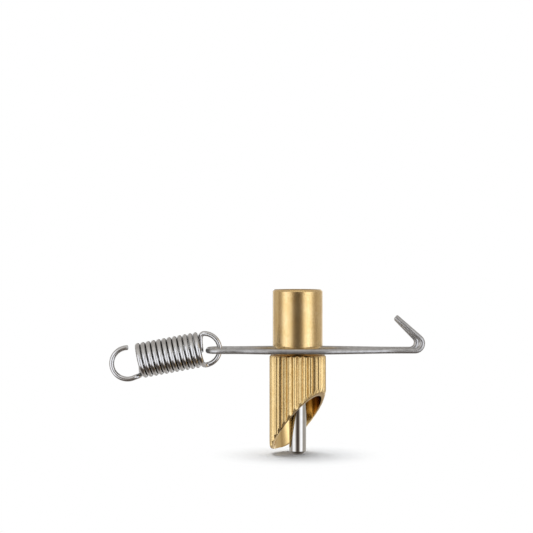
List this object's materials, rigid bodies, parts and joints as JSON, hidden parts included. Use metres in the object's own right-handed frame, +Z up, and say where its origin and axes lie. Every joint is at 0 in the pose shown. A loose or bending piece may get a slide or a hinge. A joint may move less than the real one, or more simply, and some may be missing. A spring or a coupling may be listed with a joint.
{
  "type": "rabbit nipple drinker",
  "caption": "Brass push-in nipple drinker with a tilting steel pin, scooped mouth, fluted grip, wire hanger with hooks and a tension spring.",
  "frame": {"origin": "centre of the inlet face, at the top of the smooth spigot", "axes": "+Z up along the valve's axis, away from the drinking pin; +X along the hanger towards its two hooks; -Y towards the viewer of the picture"},
  "size_m": [0.059, 0.0106, 0.0309],
  "materials": {
    "brass_body": "turned, slightly grained brass",
    "seal_rubber": "matt black rubber",
    "pin_steel": "polished stainless steel",
    "bush_plastic": "natural acetal",
    "valve_spring_steel": "bright drawn wire",
    "hanger_steel": "satin drawn wire",
    "spring_steel": "bright drawn wire"
  },
  "bodies": {
    "nipple_body": {"nipple_body": "brass_body", "inlet_bush": "bush_plastic"},
    "seat_seal": {"seat_seal": "seal_rubber"},
    "return_spring": {"return_spring": "valve_spring_steel"},
    "drinking_pin": {"drinking_pin": "pin_steel"},
    "hanger_wire": {"hanger_wire": "hanger_steel"},
    "tension_spring": {"tension_spring": "spring_steel"}
  },
  "joints": [
    {"name": "pin_turn", "type": "hinge", "parent": "nipple_body", "child": "seat_seal", "pos_m": [0, 0, -0.0134], "axis": [0, 0, 1], "continuous": true},
    {"name": "pin_lift", "type": "slide", "parent": "seat_seal", "child": "return_spring", "axis": [0, 0, 1], "range_m": [0, 0.0012], "stiffness_N_per_m": 30, "springref_m": -0.0008, "deforming": ["return_spring"]},
    {"name": "pin_tilt", "type": "hinge", "parent": "return_spring", "child": "drinking_pin", "pos_m": [-0.0026, 0, -0.01238], "axis": [0, -1, 0], "range_deg": [0, 7], "stiffness_Nm_per_rad": 0.001, "springref_deg": -2.86, "deforming": ["return_spring"]},
    {"name": "hanger_turn", "type": "hinge", "parent": "nipple_body", "child": "hanger_wire", "pos_m": [0, 0, -0.0114], "axis": [0, 0, 1], "continuous": true},
    {"name": "spring_swing", "type": "hinge", "parent": "hanger_wire", "child": "tension_spring", "pos_m": [-0.01672, 0, -0.0114], "axis": [0, 1, 0], "range_deg": [-95, 118]}
  ]
}
